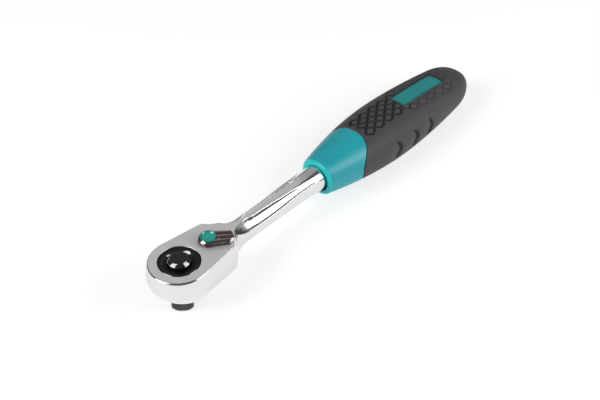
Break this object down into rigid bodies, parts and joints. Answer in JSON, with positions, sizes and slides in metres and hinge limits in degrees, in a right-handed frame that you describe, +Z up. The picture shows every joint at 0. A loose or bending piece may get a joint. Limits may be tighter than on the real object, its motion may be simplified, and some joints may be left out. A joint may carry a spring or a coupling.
{
  "type": "ratchet handle",
  "caption": "Reversible ratchet handle with a quick-release square drive in a pear-shaped head, a thumb lever, a fluted shank and a soft oval grip.",
  "frame": {"origin": "centre of the square drive's end face", "axes": "+Z up the drive axis to the release button, +X along the handle from the drive to the grip's end, +Y to the left of +X"},
  "size_m": [0.2117, 0.032, 0.0312],
  "materials": {
    "satin_chrome": "satin chrome plate",
    "polished_chrome": "polished chrome plate",
    "black_oxide": "blackened, satin",
    "dark_steel": "hardened, dark",
    "ground_steel": "ground",
    "spring_steel": "bright drawn",
    "seal_rubber": "matt",
    "teal_plastic": "satin moulded",
    "green_enamel": "smooth, semi-gloss",
    "soft_rubber": "soft matt overmould, knurled"
  },
  "bodies": {
    "handle": {"head_body": "satin_chrome", "gear_thrust_washer": "ground_steel", "gear_retaining_ring": "spring_steel", "pawl_pin": "ground_steel", "grip_core": "teal_plastic", "grip_sleeve": "soft_rubber", "grip_badge": "green_enamel"},
    "drive": {"drive_gear": "black_oxide", "gear_seal_ring": "seal_rubber", "button_spring": "spring_steel"},
    "button": {"release_button": "black_oxide", "release_pin": "dark_steel"},
    "ball": {"lock_ball": "spring_steel"},
    "lever": {"reverse_lever": "polished_chrome", "lever_inlay": "green_enamel", "lever_o_ring": "seal_rubber", "lever_clip": "spring_steel", "detent_spring": "spring_steel"},
    "plunger": {"detent_plunger": "ground_steel"},
    "pawl": {"pawl": "ground_steel"}
  },
  "joints": [
    {"name": "gear_spin", "type": "hinge", "parent": "handle", "child": "drive", "pos_m": [0, 0, 0], "axis": [0, 0, 1], "continuous": true},
    {"name": "button_press", "type": "slide", "parent": "drive", "child": "button", "axis": [0, 0, -1], "range_m": [0, 0.0022], "stiffness_N_per_m": 900, "springref_m": -0.002, "deforming": ["button_spring"]},
    {"name": "ball_slide", "type": "slide", "parent": "drive", "child": "ball", "axis": [-0.7071, -0.7071, 0], "range_m": [0, 0.00075]},
    {"name": "lever_turn", "type": "hinge", "parent": "handle", "child": "lever", "pos_m": [0.017, 0, 0.0254], "axis": [0, 0, 1], "range_deg": [0, 82]},
    {"name": "detent_press", "type": "slide", "parent": "lever", "child": "plunger", "axis": [0.7547, -0.6561, 0], "range_m": [0, 0.0006], "stiffness_N_per_m": 600, "springref_m": -0.001},
    {"name": "pawl_rock", "type": "hinge", "parent": "handle", "child": "pawl", "pos_m": [0.01225, 0, 0.01895], "axis": [0, 0, 1], "range_deg": [-16, 0]}
  ],
  "couplings": [
    {"joint": "ball_slide", "follows": "button_press", "ratio": 0.3409},
    {"joint": "pawl_rock", "follows": "lever_turn", "ratio": -0.1951}
  ]
}
